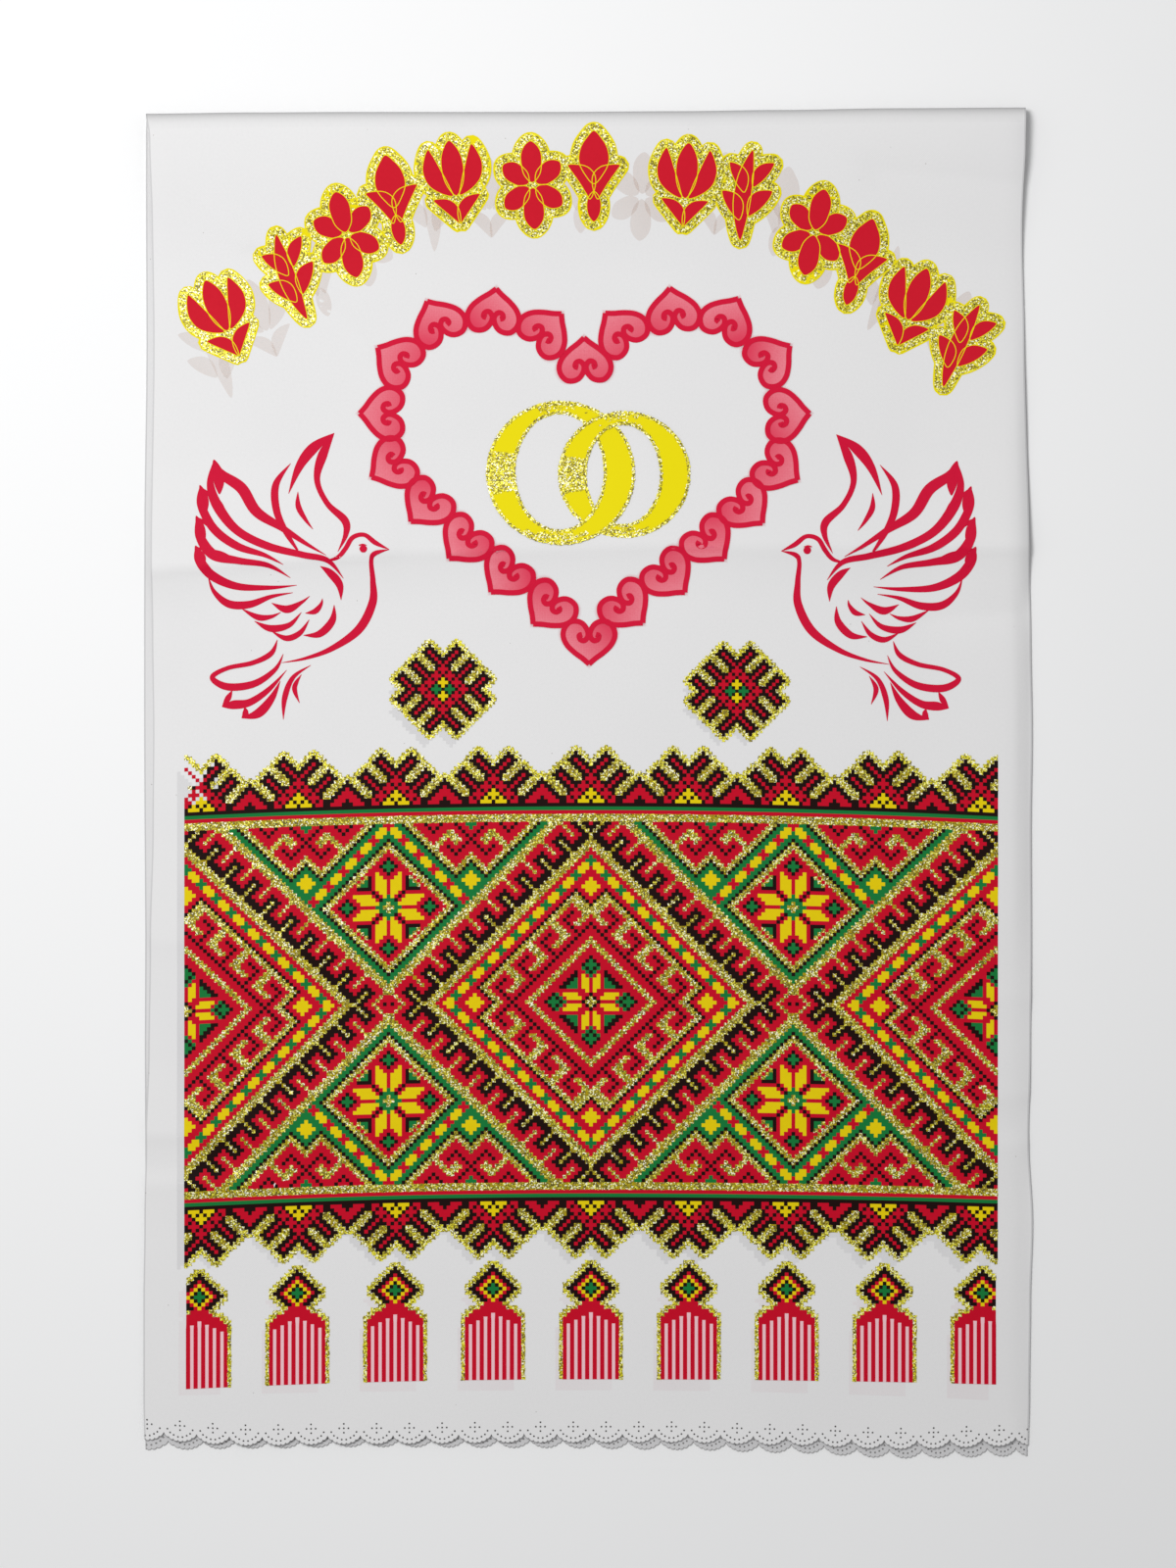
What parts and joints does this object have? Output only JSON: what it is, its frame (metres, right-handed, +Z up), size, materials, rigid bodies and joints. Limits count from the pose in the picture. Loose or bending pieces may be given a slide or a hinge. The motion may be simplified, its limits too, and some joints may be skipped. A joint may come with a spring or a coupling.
{
  "type": "rushnyk ritual towel",
  "caption": "Printed ceremonial cloth towel folded once across its middle and laid flat, its scalloped ends together.",
  "frame": {"origin": "centre of the underside of the folded towel, where it rests", "axes": "+Z up through the leaves, +Y along the length towards the folded edge, +X to the right across the width"},
  "size_m": [0.363, 0.5516, 0.0074],
  "materials": {
    "cloth": "matt white polyester twill, printed on its upper face"
  },
  "bodies": {
    "root": {"towel": "cloth"}
  },
  "joints": []
}
